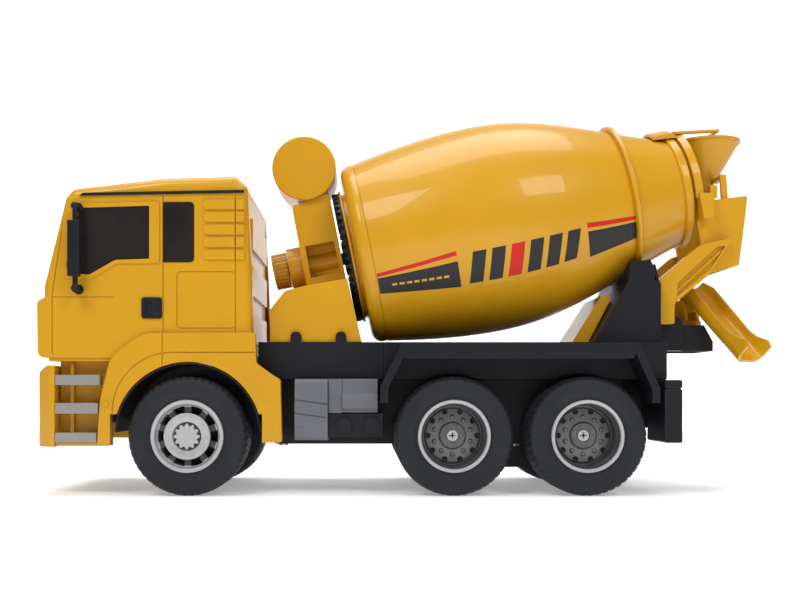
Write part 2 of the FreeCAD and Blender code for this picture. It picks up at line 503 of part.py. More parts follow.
def cab_fittings():
    panes = []
    for window in (FRONT_WINDOW, REAR_WINDOW):
        pane = plate(window, -CAB_HALF - 0.3, -CAB_HALF + WALL - 0.2)
        panes += both_sides(pane)
    screen = plate([(-166.3, 99.6), (-157.95, 133.4), (-156.2, 133.4), (-164.6, 99.6)], -41.9, 41.9)
    write("cab_windows", *panes, screen)
    back = box(-77.0, -74.9, -40.8, 40.8, 64.7, 137.8)
    raised = [box(-75.2, -73.6, -34, 34, z, z + 14) for z in (70, 92, 114)]
    write("cab_back_panel", fuse(back, *raised))
    bumper = slab([(-170.8, -43.5, 5), (-164.0, -50, 3), (-161.5, -50), (-161.5, -43), (-163.5, -43), (-163.5, 43),
                   (-161.5, 43), (-161.5, 50), (-164.0, 50, 3), (-170.8, 43.5, 5)], 22.2, 59.2)
    crown = plate([(-174, 50), (-174, 62), (-150, 62), (-150, 59.0), (-165.5, 59.0, 3), (-169.9, 56.3, 2),
                   (-171.8, 50)], -60, 60)
    steps = [box(-172, -170.2, -30, 30, z, z + 2.4) for z in (37, 42, 47)]
    seam = box(-172, -170.4, -50, 50, 31.7, 32.2)
    lamp_wells = both_sides(box(-172, -168.2, -41, -33, 35, 52))
    plate_well = box(-172, -170.0, -16, 16, 24.5, 30)
    hanger = box(-164, -150, -12, 12, 36, 48)
    bumper = bumper.cut([crown, seam, plate_well] + steps + lamp_wells)
    write("front_bumper", fuse(bumper, hanger))
    lamps = both_sides(box(-170.4, -168.3, -40.8, -33.2, 35.2, 51.8))
    write("headlight_lenses", *lamps)
    strip = plate([(-150.5, 135.9), (-76.0, 137.2, 0.4), (-76.0, 138.5, 0.4), (-149.0, 137.2, 0.5)],
                  -CAB_HALF - 1.0, -CAB_HALF)
    write("roof_strips", *both_sides(strip))
    grip = plate(rounded(-122.5, -113.4, 80.4, 89.8, 1.1), -CAB_HALF - 0.9, -CAB_HALF + 0.9)
    hollow = plate(rounded(-121.0, -117.6, 81.6, 88.6, 0.8), -CAB_HALF - 1.2, -CAB_HALF - 0.2)
    button = plate(rounded(-119.6, -116.0, 82.6, 86.4, 0.6), -CAB_HALF - 1.3, -CAB_HALF + 0.2)
    write("door_handles", *both_sides(fuse(grip.cut(hollow), button)))
    treads = []
    for z0, z1, x1 in ((50.2, 54.7, -141.2), (37.2, 42.0, -142.0), (24.1, 28.6, -142.7)):
        treads += both_sides(box(-161.3, x1, -49.9, -44.1, z0, z1))
    write("cab_steps", *treads)
    housing = slab([(-154.3, -56.4, 1.2), (-148.8, -55.4, 1.2), (-148.8, -52.4, 0.8), (-154.3, -53.4, 0.8)],
                   98.8, 123.7)
    stem = cylinder(V(-151.0, -54.2, 92.6), Z_AXIS, 1.2, 38.6)
    arms = []
    for z, stand_off in ((130.3, 0.8), (93.4, 0.0)):
        foot_y = -CAB_HALF - stand_off
        arms.append(cylinder(V(-151.0, -54.2, z), Y_AXIS, 1.2, foot_y + 54.2))
        arms.append(Part.makeSphere(1.9, V(-151.0, -54.2, z)))
        arms.append(cylinder(V(-151.0, foot_y - 1.0, z), Y_AXIS, 2.2, 1.0))
    write("mirrors", *both_sides(fuse(housing, stem, *arms)))


# ---- mixer drive: made about Z (distance along the drum's axis), then tilted into place ----
GEAR_TOOTH_H = 2.5
GEAR_FACE_T = -8.6             # base of the crown gear's teeth
PINION_T = GEAR_FACE_T - 11.1  # pinion axis, across the drum axis
FLANGE_T = -7.8                # flange that the crown gear sits on
FRONT_T = -5.0                 # front face of the drum
PINION_IN, PINION_OUT = 27.5, 30.5
SHAFT_R = 3.0


def on_drum(shape):
    """Z becomes the drum's axis, and X points down, square to it."""
    placed = shape.copy()
    placed.rotate(ORIGIN, Y_AXIS, 90 - DRUM_TILT)
    placed.translate(V(DRUM_X, 0, DRUM_Z))
    return placed


def pedestal():
    base = plate([(-65.7, 70.4), (-65.7, 85.7), (-58.9, 94.3), (-49.6, 96.7), (-29.7, 100.2), (-22.8, 70.4)],
                 -33, 33)
    base_hollow = plate([(-63.2, 69), (-63.2, 84.8), (-57.6, 91.9), (-49, 94.2), (-32.2, 97.2), (-25.8, 69)],
                        -30.5, 30.5)
    column = plate([(-57.0, 137.4), (-49.2, 96.0), (-29.8, 98.4), (-38.8, 143.9)], -13, 13)
    window = plate([(-50.5, 118.1), (-36.5, 120.6), (-32.9, 105.2), (-47.6, 102.7)], -14, -3.0)
    sleeve = on_drum(cylinder(V(0, 0, -31), Z_AXIS, 5.2, 18))
    collar = on_drum(cylinder(V(0, 0, -38.7), Z_AXIS, 10.3, 9))
    bore = on_drum(cylinder(V(0, 0, -60), Z_AXIS, SHAFT_R + RUN_GAP, 60))
    mesh_slot = on_drum(box(25, 33, -12.5, 12.5, -32, -5))
    gear_room = on_drum(cylinder(V(0, 0, -11.9), Z_AXIS, GEAR_R + 1.2, 8))
    saddle = cylinder(V(-50.9, -16.5, 155.6), Y_AXIS, 15.5, 33)
    body = fuse(base, column, collar).cut([base_hollow, *both_sides(window), saddle])
    write("pedestal", fuse(body, sleeve).cut([bore, mesh_slot, gear_room]))
    tank = cylinder(V(-50.9, -16, 155.6), Y_AXIS, 15.5, 32)
    rims = [edge for edge in tank.Edges if edge.BoundBox.YLength < 0.01 and edge.Length > 50]
    write("water_tank", tank.makeFillet(0.8, rims))


def drum_drive():
    """Crown gear with its shaft, hand knob, and the pinion and motor that turn it."""
    base = tube(V(0, 0, GEAR_FACE_T), Z_AXIS, GEAR_R, 25.5, FLANGE_T - GEAR_FACE_T)
    web = cylinder(V(0, 0, GEAR_FACE_T + 0.2), Z_AXIS, 26, FLANGE_T - GEAR_FACE_T - 0.2)
    hub = cylinder(V(0, 0, -11.3), Z_AXIS, 8, 3.2)
    shaft = cylinder(V(0, 0, -46), Z_AXIS, SHAFT_R, 37)
    half_tooth = 1.25
    face = Part.Face(outline([(-half_tooth, GEAR_FACE_T + 0.1), (0, GEAR_FACE_T - GEAR_TOOTH_H),
                              (half_tooth, GEAR_FACE_T + 0.1)], lambda p: V(26, p.x, p.y)))
    tooth = face.extrude(V(GEAR_R - 26, 0, 0))
    write("crown_gear", on_drum(fuse(base, web, hub, shaft, *around(GEAR_TEETH, tooth))))
    grip = cylinder(V(0, 0, -46.6), Z_AXIS, 8.8, 7.4)
    grip = grip.cut(cylinder(V(0, 0, -50), Z_AXIS, SHAFT_R, 12))
    flutes = around(28, cylinder(V(8.9, 0, -46.0), Z_AXIS, 0.45, 7))
    cap = cylinder(V(0, 0, -46.6), Z_AXIS, 4, 0.6)
    write("drum_knob", on_drum(fuse(grip.cut(flutes), cap)))
    pitch = 2 * math.pi * 29.0 / GEAR_TEETH
    pitch_r = pitch * PINION_TEETH / (2 * math.pi)
    corners = []
    for i in range(PINION_TEETH):
        for radius, half in ((pitch_r - 1.4, -0.85), (pitch_r + 1.0, -0.3), (pitch_r + 1.0, 0.3),
                             (pitch_r - 1.4, 0.85)):
            angle = (i + 0.5) * 2 * math.pi / PINION_TEETH + half / radius
            corners.append((radius * math.cos(angle), radius * math.sin(angle)))
    wheel = slab(corners, 0, PINION_OUT - PINION_IN)
    spindle = cylinder(V(0, 0, 1), Z_AXIS, 1.0, 10)
    pinion = fuse(wheel, spindle)
    pinion.rotate(ORIGIN, Y_AXIS, 90)
    pinion.translate(V(PINION_IN, 0, PINION_T))
    write("drum_pinion", on_drum(pinion))
    can = cylinder(V(PINION_OUT + 1.5, 0, PINION_T), X_AXIS, 4.8, 20)
    well = cylinder(V(PINION_OUT, 0, PINION_T), X_AXIS, 1.0 + RUN_GAP, 12)
    write("drum_motor", on_drum(can.cut(well)))


# ---- drum ----
DRUM_OUTER = [(1.0, 44.2), (24.0, 48.0), (50.0, 50.5), (78.0, 49.6), (103.0, 43.8), (125.0, 36.3),
              (146.0, 28.9), (157.0, 25.8)]


def drum_radius(t):
    for (t0, r0), (t1, r1) in zip(DRUM_OUTER, DRUM_OUTER[1:]):
        if t <= t1:
            return r0 + (r1 - r0) * (t - t0) / (t1 - t0)
    return DRUM_OUTER[-1][1]


def drum_curve(inset):
    curve = Part.BSplineCurve()
    curve.interpolate([V(radius - inset, 0, t) for t, radius in DRUM_OUTER])
    return curve.toShape()


def drum_shell():
    (seam_t, seam_r), (mouth_t, mouth_r) = DRUM_OUTER[0], DRUM_OUTER[-1]
    back_t = FRONT_T + WALL
    outer, inner = drum_curve(0), drum_curve(WALL)

    def line(a, b):
        return Part.LineSegment(V(a[0], 0, a[1]), V(b[0], 0, b[1])).toShape()

    corner = Part.Arc(V(39.8, 0, FRONT_T), V(42.8, 0, FRONT_T + 1.6), V(seam_r, 0, seam_t)).toShape()
    wire = Part.Wire([line((0, FRONT_T), (39.8, FRONT_T)), corner, outer,
                      line((mouth_r, mouth_t), (mouth_r - WALL, mouth_t)), inner,
                      line((seam_r - WALL, seam_t), (38.7, back_t)),
                      line((38.7, back_t), (0, back_t)), line((0, back_t), (0, FRONT_T))])
    body = Part.Face(wire).revolve(ORIGIN, Z_AXIS, 360)
    lip = turned([(152.6, 25.4), (153.4, 28.1, 0.9), (157.4, 27.9, 1.0), (157.4, 23.8), (155.0, 23.8)])
    ring = turned([(RING_T - 1.3, 34.6), (RING_T - 1.3, RING_R, 0.8), (RING_T + 1.3, RING_R, 0.8),
                   (RING_T + 1.3, 34.2)])
    flange = turned([(FLANGE_T, 0), (FLANGE_T, 33.0, 0.4), (FLANGE_T + 1.2, 33.0, 0.4), (FLANGE_T + 1.2, 31.0),
                     (FRONT_T + 0.2, 31.0), (FRONT_T + 0.2, 0)])
    seam = tube(V(0, 0, seam_t + 0.3), Z_AXIS, 47, 43.95, 0.5)
    write("drum_shell", on_drum(fuse(body, lip, ring, flange).cut(seam)))


def drum_blades():
    """Three spiral blades standing in from the drum's wall."""
    stations = [14.0 + 12.0 * i for i in range(9)]
    blade_h, thick, turn_per_station = 11.0, 1.6, 16.0
    sections = []
    for i, t in enumerate(stations):
        outer = drum_radius(t) - WALL - 0.25
        section = outline([(outer - blade_h, -thick / 2), (outer, -thick / 2), (outer, thick / 2),
                           (outer - blade_h, thick / 2)], lambda p: V(p.x, p.y, t))
        section.rotate(ORIGIN, Z_AXIS, turn_per_station * i)
        sections.append(section)
    blade = Part.makeLoft(sections, True, True)
    write("drum_blades", *[on_drum(copy) for copy in around(3, blade)])


def drum_tower():
    angle = math.asin(20.0 / RING_R)
    reach = RING_R + ROLLER_R + 0.3
    down, across = reach * math.cos(angle), reach * math.sin(angle)
    body = plate([(86.3, 70.4), (102.2, 98.3), (102.8, 99.8), (104.2, 108.5), (113.6, 108.5, 1), (114.8, 99.8),
                  (117.8, 98.0), (117.8, 70.4)], -31, 31)
    hollow = plate([(91.0, 69), (104.6, 94.5), (115.0, 94.5), (115.0, 69)], -28.9, 28.9)
    saddle = on_drum(cylinder(V(0, 0, 60), Z_AXIS, RING_R + 1.6, 120))
    gaps = both_sides(box(down - 8, down + 7.2, -29.1, -across + 7.5, RING_T - 4.2, RING_T + 4.2))
    body = body.cut([hollow, saddle] + [on_drum(gap) for gap in gaps])
    pins = [on_drum(cylinder(V(down, y, RING_T - 5.0), Z_AXIS, 1.5, 10)) for y in (-across, across)]
    ears = [on_drum(slab([(down - 2.6, y - 4, 1.5), (down + 6, y - 4), (down + 6, y + 4), (down - 2.6, y + 4, 1.5)],
                         t, t + 1.2)) for y in (-across, across) for t in (RING_T - 5.4, RING_T + 4.1)]
    write("drum_tower", fuse(body, *pins, *ears))
    for y, name in ((-across, "left"), (across, "right")):
        roller = tube(V(down, y, RING_T - 3.6), Z_AXIS, ROLLER_R, 1.5 + RUN_GAP, 7.2)
        write("roller_" + name, on_drum(roller))
    brace = plate([(78.0, 70.4), (86.0, 70.4), (97.6, 92.8), (92.6, 93.6, 1)], -19, 19)
    brace_hollow = plate([(80.5, 69), (83.6, 69), (94.4, 90), (92.0, 90.4)], -17, 17)
    write("cradle_brace", brace.cut(brace_hollow))


# ---- discharge end ----
def hopper_frame():
    side = [(136.4, 138.2), (162.8, 141.4, 1), (158.4, 108.0, 1), (143.7, 103.6, 1), (138.6, 109.0, 1),
            (140.8, 116.0)]
    plan = [(134.0, -20, 1), (163, -20, 2), (163, 20, 2), (134, 20, 1)]
    inner_plan = [(130.0, -18.2), (161.2, -18.2, 1), (161.2, 18.2, 1), (130, 18.2)]
    inner_side = [(130, 145), (170, 145), (156.9, 109.0), (170, 95), (130, 95)]
    hopper = plate(side, -20, 20).common(slab(plan, 90, 150))
    inside = slab(inner_plan, 90, 150).common(plate(inner_side, -20, 20))
    slope = plate([(156.6, 100), (161.0, 142), (175, 142), (175, 100)], -18.4, 18.4)
    hopper = hopper.cut(inside.cut(slope))
    shoulders = both_sides(plate([(138.6, 129.0), (136.6, 141.0), (143.6, 141.0, 2), (143.6, 129.0, 2)], -29.2, -19))
    band = tube(V(0, 0, 158.3), Z_AXIS, 28.2, 24.4, 3.6).cut(box(8.2, 60, -60, 60, 150, 170))
    band = on_drum(band).cut(plate([(120, 173.0), (155, 174.9), (155, 190), (120, 190)], -40, 40))
    hood = turned([(146.8, 29.4), (147.4, 30.8, 0.8), (156.0, 30.8, 1.0), (159.4, 28.4), (159.4, 26.0), (158.2, 26.0),
                   (158.2, 28.5), (153.0, 29.0)])
    hood = on_drum(hood.common(box(-40, 0, -16, 16, 140, 170)))
    guard = plate([(128.4, 172.8), (128.4, 174.0), (151.4, 175.2), (151.4, 174.0)], -13, 13)
    guard = guard.cut(box(134.6, 149.8, -10.8, 10.8, 170, 190))
    bar = cylinder(V(141.5, -13.5, 139.0), X_AXIS, 1.5, 20.6)
    bar_back = box(160.5, 162.4, -15, 15, 134, 140.5)
    strut = plate([(119.0, 79.4, 1), (119.0, 100.8, 3), (138.0, 116.8, 3), (153.9, 120.6, 1), (142.9, 103.2, 2),
                   (126.0, 89.2, 3), (126.0, 79.4, 1)], -25.0, -20.0)
    channel = plate([(127.4, 92.6), (143.0, 105.4), (150.4, 116.6), (146.6, 116.4), (127.4, 99.0)], -26, -23.2)
    ridge = plate([(127.4, 94.6), (148.0, 113.2), (147.6, 114.2), (127.4, 95.6)], -24.6, -22)
    clip = box(144.0, 147.4, -21.8, -18.4, 140.4, 146)
    pieces = shoulders + [band, hood, guard, bar, bar_back] + both_sides(strut.cut(channel))
    pieces += both_sides(ridge) + both_sides(clip)
    write("hopper_frame", fuse(hopper, *pieces))


def feed_funnel():
    def cone(inset, z0, z1):
        rings = []
        for z in (z0, z1):
            share = (z - 146.0) / (FUNNEL_Z1 - 146.0)
            centre = V(145.8 + 3.6 * share, 0, z)
            rings.append(Part.Wire(Part.makeCircle(4.6 + 11.2 * share - inset, centre, Z_AXIS)))
        return Part.makeLoft(rings, True, True)

    shell = cone(0, 146.0, FUNNEL_Z1).cut(cone(1.5, 144.0, FUNNEL_Z1 + 2))
    throat = plate([(120, 140), (120, 168), (139.6, 163), (146.4, 140)], -30, 30)
    lip = tube(V(149.4, 0, FUNNEL_Z1 - 1.0), Z_AXIS, 16.0, 14.4, 1.2)
    foot = plate([(143.5, 141.2), (143.5, 149.0), (147, 149.0), (147, 141.2)], -2, 2)
    legs = both_sides(plate([(151.0, 138.0), (150.0, 152.0), (153.0, 152.0), (154.0, 138.0)], -18.0, -16.4))
    links = both_sides(box(150.2, 152.8, -18, -5.2, 149.8, 151.8))
    bore = cone(1.5, 144.0, FUNNEL_Z1 + 2)
    stand = fuse(legs[0], links[0]).cut(bore)
    write("feed_funnel", fuse(shell.cut(throat), lip.cut(throat), stand, mirrored(stand)))


def chute_parts():
    """Swivel bracket and trough, made straight back and level, then tilted and turned to their rest place."""
    disc = cylinder(V(0, 0, TAIL_Z1 + 0.3), Z_AXIS, 7.2, 2.4)
    peg = cylinder(V(0, 0, TAIL_Z1 - 9), Z_AXIS, CHUTE_PIN_R, 10)
    ears = both_sides(plate([(-4, TAIL_Z1 + 2), (4, TAIL_Z1 + 2), (2.6, CHUTE_Z + 2.4, 2), (-2.6, CHUTE_Z + 2.4, 2)],
                            -5.6, -3.4))
    pin = cylinder(V(0, -5.6, CHUTE_Z), Y_AXIS, 1.2, 11.2)
    swivel = fuse(disc, peg, pin, *ears)
    floor_z, length, back = 4.5, 44.55, -6.0
    trough = panel([(-9.6, floor_z + 14), (-9.6, floor_z, 5.5), (9.6, floor_z, 5.5), (9.6, floor_z + 14)],
                   back, length)
    inside = panel([(-8.0, floor_z + 15), (-8.0, floor_z + 1.6, 4.2), (8.0, floor_z + 1.6, 4.2),
                    (8.0, floor_z + 15)], back - 1, length + 1)
    rim = plate([(back - 1, floor_z + 6.0), (0, floor_z + 8.5, 4), (30, floor_z + 7.6, 4), (35, floor_z + 8.4, 2),
                 (length - 3.5, floor_z + 11.4, 2), (length + 1, floor_z + 9.6), (length + 1, floor_z + 30),
                 (back - 1, floor_z + 30)], -30, 30)
    lug = plate([(-4, floor_z + 0.4), (-2.6, -2.4, 2), (2.6, -2.4, 2), (8, floor_z + 0.4)], -3.1, 3.1)
    bore = cylinder(V(0, -5, 0), Y_AXIS, 1.2 + RUN_GAP, 10)
    chute = fuse(trough.cut([inside, rim]), lug).cut(bore)
    chute.rotate(ORIGIN, Y_AXIS, CHUTE_SLOPE)
    chute.translate(V(0, 0, CHUTE_Z))
    for name, shape in (("chute_swivel", swivel), ("discharge_chute", chute)):
        shape.rotate(ORIGIN, Z_AXIS, -CHUTE_YAW)
        shape.translate(V(CHUTE_X, 0, 0))
        write(name, shape)


wheels()
axle_shaft("mid_axle", MID_X)
axle_shaft("rear_axle", REAR_X)
front_beam()
write("knuckle_left", knuckle())
write("knuckle_right", mirrored(knuckle()))
tie_rod()
steering_servo()
rear_drive()
chassis_tub()
battery_and_board()
chassis_deck()
side_fittings()
fenders()
cab_shell()
cab_fittings()
pedestal()
drum_drive()
drum_shell()
drum_blades()
drum_tower()
hopper_frame()
feed_funnel()
chute_parts()
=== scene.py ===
import bpy
import bmesh
import json
import math
from mathutils import Matrix, Vector

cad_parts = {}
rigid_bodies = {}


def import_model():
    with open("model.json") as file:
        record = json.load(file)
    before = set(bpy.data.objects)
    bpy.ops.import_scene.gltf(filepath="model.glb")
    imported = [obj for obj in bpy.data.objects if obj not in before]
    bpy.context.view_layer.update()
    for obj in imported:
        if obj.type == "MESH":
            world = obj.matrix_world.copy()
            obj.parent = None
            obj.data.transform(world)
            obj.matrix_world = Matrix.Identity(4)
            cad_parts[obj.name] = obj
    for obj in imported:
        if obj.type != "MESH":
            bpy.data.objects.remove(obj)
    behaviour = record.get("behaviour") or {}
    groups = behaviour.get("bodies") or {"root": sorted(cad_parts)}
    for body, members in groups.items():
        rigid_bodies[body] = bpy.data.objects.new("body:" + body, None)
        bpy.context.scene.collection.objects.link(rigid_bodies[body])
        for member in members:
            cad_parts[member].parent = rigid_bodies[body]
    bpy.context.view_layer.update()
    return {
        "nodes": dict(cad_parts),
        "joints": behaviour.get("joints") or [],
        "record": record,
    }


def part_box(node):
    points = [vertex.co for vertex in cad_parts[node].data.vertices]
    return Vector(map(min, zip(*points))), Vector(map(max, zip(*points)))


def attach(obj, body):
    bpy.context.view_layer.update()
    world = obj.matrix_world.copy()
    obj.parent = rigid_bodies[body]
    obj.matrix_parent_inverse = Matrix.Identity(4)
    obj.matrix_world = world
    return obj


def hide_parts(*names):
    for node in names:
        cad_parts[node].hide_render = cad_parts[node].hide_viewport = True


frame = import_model()
MM = 0.001
SLOT_OF = {row["node"]: row["material_slot"] for row in frame["record"]["subparts"]}


# ---- camera, floor and light ----
CAMERA_PLACE = (-0.0213, -0.5145, 0.0463)
SENSOR_WIDTH, LENS = 36.0, 46.3
LENS_SHIFT = (0.04375, 0.1169)
FLOOR_REACH, FLOOR_SWEEP = 3.0, 1.0    # half-depth of the floor, and radius of the curve at its far end
FLOOR_HALF_WIDTH, WALL_TOP = 4.0, 3.0
FLOOR_GLOW, WORLD_LIGHT = 0.30, 0.15
LIT_POINT = (0.03, 0, 0.12)            # the middle of the drum
SOFTBOXES = [  # name, place, point it faces, size, power
    ("softbox_left", (-0.42, -0.62, 0.72), LIT_POINT, (0.34, 0.34), 3.4),
    ("softbox_right", (0.40, -0.66, 0.62), LIT_POINT, (0.30, 0.30), 2.4),
    ("softbox_top", (0.0, 0.1, 1.1), LIT_POINT, (0.9, 0.7), 9.5),
    ("backdrop_wash", (0.0, 0.9, 0.9), (0.0, 2.6, 0.4), (1.6, 0.6), 45.0),
]


def add_camera():
    data = bpy.data.cameras.new("camera")
    data.sensor_width = SENSOR_WIDTH
    data.lens = LENS
    data.shift_x, data.shift_y = LENS_SHIFT
    data.clip_start = 0.01
    camera = bpy.data.objects.new("camera", data)
    camera.location = CAMERA_PLACE
    camera.rotation_euler = (math.radians(90), 0, 0)
    bpy.context.collection.objects.link(camera)
    bpy.context.scene.camera = camera


def add_softbox(name, place, target, size, power):
    data = bpy.data.lights.new(name, "AREA")
    data.shape = "RECTANGLE"
    data.size, data.size_y = size
    data.energy = power
    light = bpy.data.objects.new(name, data)
    light.location = place
    light.rotation_euler = (Vector(target) - Vector(place)).to_track_quat("-Z", "Y").to_euler()
    bpy.context.collection.objects.link(light)


def new_material(name):
    material = bpy.data.materials.new(name)
    material.use_nodes = True
    tree = material.node_tree
    shader = tree.nodes["Principled BSDF"]
    return material, tree, shader


def add_floor():
    """A pale floor that curves up far behind the truck."""
    flat_end = FLOOR_REACH - FLOOR_SWEEP
    profile = [(-FLOOR_REACH, 0.0), (flat_end, 0.0)]
    profile += [(flat_end + FLOOR_SWEEP * math.sin(a), FLOOR_SWEEP * (1 - math.cos(a)))
                for a in (math.radians(2 * i) for i in range(1, 46))]
    profile.append((FLOOR_REACH, WALL_TOP))
    verts = [(x, y, z) for x in (-FLOOR_HALF_WIDTH, FLOOR_HALF_WIDTH) for y, z in profile]
    count = len(profile)
    faces = [(i, i + 1, count + i + 1, count + i) for i in range(count - 1)]
    mesh = bpy.data.meshes.new("floor")
    mesh.from_pydata(verts, [], faces)
    mesh.polygons.foreach_set("use_smooth", [True] * len(faces))
    mesh.update()
    floor = bpy.data.objects.new("floor", mesh)
    bpy.context.collection.objects.link(floor)
    material, tree, shader = new_material("floor_paper")
    shader.inputs["Base Color"].default_value = (0.93, 0.93, 0.93, 1)
    shader.inputs["Roughness"].default_value = 0.75
    shader.inputs["Specular IOR Level"].default_value = 0.2
    shader.inputs["Emission Color"].default_value = (1, 1, 1, 1)
    shader.inputs["Emission Strength"].default_value = FLOOR_GLOW
    mesh.materials.append(material)


def set_light():
    world = bpy.data.worlds.new("studio")
    world.use_nodes = True
    world.node_tree.nodes["Background"].inputs["Color"].default_value = (1, 1, 1, 1)
    world.node_tree.nodes["Background"].inputs["Strength"].default_value = WORLD_LIGHT
    bpy.context.scene.world = world
    bpy.context.scene.view_settings.view_transform = "Standard"
    for softbox in SOFTBOXES:
        add_softbox(*softbox)


# ---- materials ----
EDGE_FROM, EDGE_TO = 0.99, 0.80        # cosines of the lean between open face and full edge
EDGE_HIGHLIGHT_BLEND = 0.55                      # how much of the painted highlight colour an edge takes
EDGE_ROUNDING = 0.00035                # metres
GRAIN_DEPTH = 0.00012                  # metres
COAT_ROUGHNESS = 0.035
DRIFT_SCALE, GLOSS_SCALE = 38.0, 140.0          # noise cells per metre
FINE_GRAIN, COARSE_GRAIN = 2600.0, 1500.0       # noise cells per metre
TONE_LOW, TONE_HIGH = 0.3, 0.7         # noise values where the colour is darkest and lightest
SMOOTHEST, ROUGHEST = 0.82, 1.22       # how far the roughness drifts, as shares of itself


def link(tree, a, out, b, socket):
    tree.links.new(a.outputs[out], b.inputs[socket])


def node(tree, kind, **values):
    made = tree.nodes.new("ShaderNode" + kind)
    for key, value in values.items():
        if key in made.inputs:
            made.inputs[key].default_value = value
        else:
            setattr(made, key, value)
    return made


def edge_mask(tree):
    """1 along convex and concave edges, 0 on open faces, from how far a rounded normal leans away."""
    rounded = node(tree, "Bevel", samples=4, Radius=EDGE_ROUNDING)
    plain = node(tree, "NewGeometry")
    lean = node(tree, "VectorMath", operation="DOT_PRODUCT")
    link(tree, rounded, "Normal", lean, 0)
    link(tree, plain, "Normal", lean, 1)
    mask = node(tree, "MapRange")
    mask.inputs["From Min"].default_value, mask.inputs["From Max"].default_value = EDGE_FROM, EDGE_TO
    link(tree, lean, "Value", mask, "Value")
    return rounded, mask


def noise_field(tree, scale, detail):
    """Noise in the object's own metres."""
    place = node(tree, "TexCoord")
    field = node(tree, "TexNoise", Scale=scale, Detail=detail, Roughness=0.55)
    link(tree, place, "Object", field, "Vector")
    return field


def ramp(tree, field, low, high, low_colour, high_colour):
    """Turns a field into a colour that runs from one to the other between two values."""
    blend = node(tree, "ValToRGB")
    for stop, position, colour in zip(blend.color_ramp.elements, (low, high), (low_colour, high_colour)):
        stop.position, stop.color = position, (*colour, 1)
    link(tree, field, 0, blend, "Fac")
    return blend


def tint(colour, amount):
    return tuple(min(1.0, channel * amount) for channel in colour)


def plastic(name, colour, roughness, grain=0.02, grain_scale=FINE_GRAIN, spread=0.06, edge=1.25,
            coat=0.0, metallic=0.0, gloss_level=0.5):
    """Moulded plastic: slow colour drift, uneven gloss, fine grain, rounded edges, and a painted highlight
    that makes edges lighter.
    """
    material, tree, shader = new_material(name)
    drift = noise_field(tree, DRIFT_SCALE, 3.0)
    tone = ramp(tree, drift, TONE_LOW, TONE_HIGH, tint(colour, 1 - spread), tint(colour, 1 + spread))
    rounded, mask = edge_mask(tree)
    # painted highlight: edges are mixed towards a copy of the colour made edge times lighter
    edge_highlight = node(tree, "Mix", data_type="RGBA")
    edge_highlight.inputs["B"].default_value = (*tint(colour, edge), 1)
    fade = node(tree, "Math", operation="MULTIPLY")
    fade.inputs[1].default_value = EDGE_HIGHLIGHT_BLEND
    link(tree, mask, "Result", fade, 0)
    link(tree, fade, "Value", edge_highlight, "Factor")
    tree.links.new(tone.outputs["Color"], edge_highlight.inputs[6])
    tree.links.new(edge_highlight.outputs[2], shader.inputs["Base Color"])
    gloss = noise_field(tree, GLOSS_SCALE, 4.0)
    uneven = node(tree, "MapRange")
    uneven.inputs["To Min"].default_value = roughness * SMOOTHEST
    uneven.inputs["To Max"].default_value = roughness * ROUGHEST
    link(tree, gloss, 0, uneven, "Value")
    link(tree, uneven, "Result", shader, "Roughness")
    mould = noise_field(tree, grain_scale, 2.0)
    bump = node(tree, "Bump", Strength=grain, Distance=GRAIN_DEPTH)
    link(tree, mould, 0, bump, "Height")
    link(tree, rounded, "Normal", bump, "Normal")
    link(tree, bump, "Normal", shader, "Normal")
    shader.inputs["Metallic"].default_value = metallic
    shader.inputs["Specular IOR Level"].default_value = gloss_level
    if coat:
        shader.inputs["Coat Weight"].default_value = coat
        shader.inputs["Coat Roughness"].default_value = COAT_ROUGHNESS
    return material


YELLOW = (0.62, 0.312, 0.007)
# edge sets how much lighter the painted highlight on each material's edges is
PAINTS = {
    "yellow_plastic": plastic("yellow_plastic", YELLOW, 0.38, grain=0.03, spread=0.035, edge=1.5, coat=0.25,
                              gloss_level=0.28),
    "black_plastic": plastic("black_plastic", (0.0095, 0.0105, 0.0135), 0.42, grain=0.10, spread=0.12,
                             edge=7.0, gloss_level=0.25),
    "grey_plastic": plastic("grey_plastic", (0.128, 0.133, 0.150), 0.46, grain=0.10, edge=1.7,
                            gloss_level=0.35),
    "silver_plastic": plastic("silver_plastic", (0.31, 0.297, 0.278), 0.40, grain=0.12, edge=1.3,
                              metallic=0.25, gloss_level=0.4),
    "bright_rim": plastic("bright_rim", (0.46, 0.46, 0.47), 0.33, grain=0.03, edge=1.3, metallic=0.2),
    "grey_rim": plastic("grey_rim", (0.19, 0.19, 0.195), 0.36, grain=0.05, edge=2.2, metallic=0.3),
    "tyre": plastic("tyre", (0.0125, 0.014, 0.0185), 0.60, grain=0.28, grain_scale=COARSE_GRAIN, spread=0.2,
                    edge=2.6, gloss_level=0.35),
    "steel": plastic("steel", (0.55, 0.55, 0.55), 0.28, grain=0.10, metallic=1.0),
    "dark_glazing": plastic("dark_glazing", (0.020, 0.016, 0.0155), 0.10, grain=0.01, spread=0.25, edge=1.6,
                            coat=0.25, gloss_level=0.3),
    "lens": plastic("lens", (0.78, 0.78, 0.76), 0.10, grain=0.02, coat=1.0, metallic=0.3),
    "battery_sleeve": plastic("battery_sleeve", (0.05, 0.14, 0.34), 0.3),
    "board": plastic("board", (0.02, 0.16, 0.06), 0.4),
    "white_nylon": plastic("white_nylon", (0.75, 0.74, 0.70), 0.45, edge=1.1),
}
DECAL_BLACK = plastic("decal_black", (0.019, 0.017, 0.016), 0.40, grain=0.02, edge=1.0, gloss_level=0.3)
DECAL_RED = plastic("decal_red", (0.60, 0.010, 0.007), 0.40, grain=0.02, edge=1.0, gloss_level=0.3)
# painted shade: dark grey for the rims' spokes, well, cap ring and nut rings, which lie in shade
RIM_SHADE = plastic("rim_shade", (0.055, 0.056, 0.06), 0.45, grain=0.05, edge=2.2)
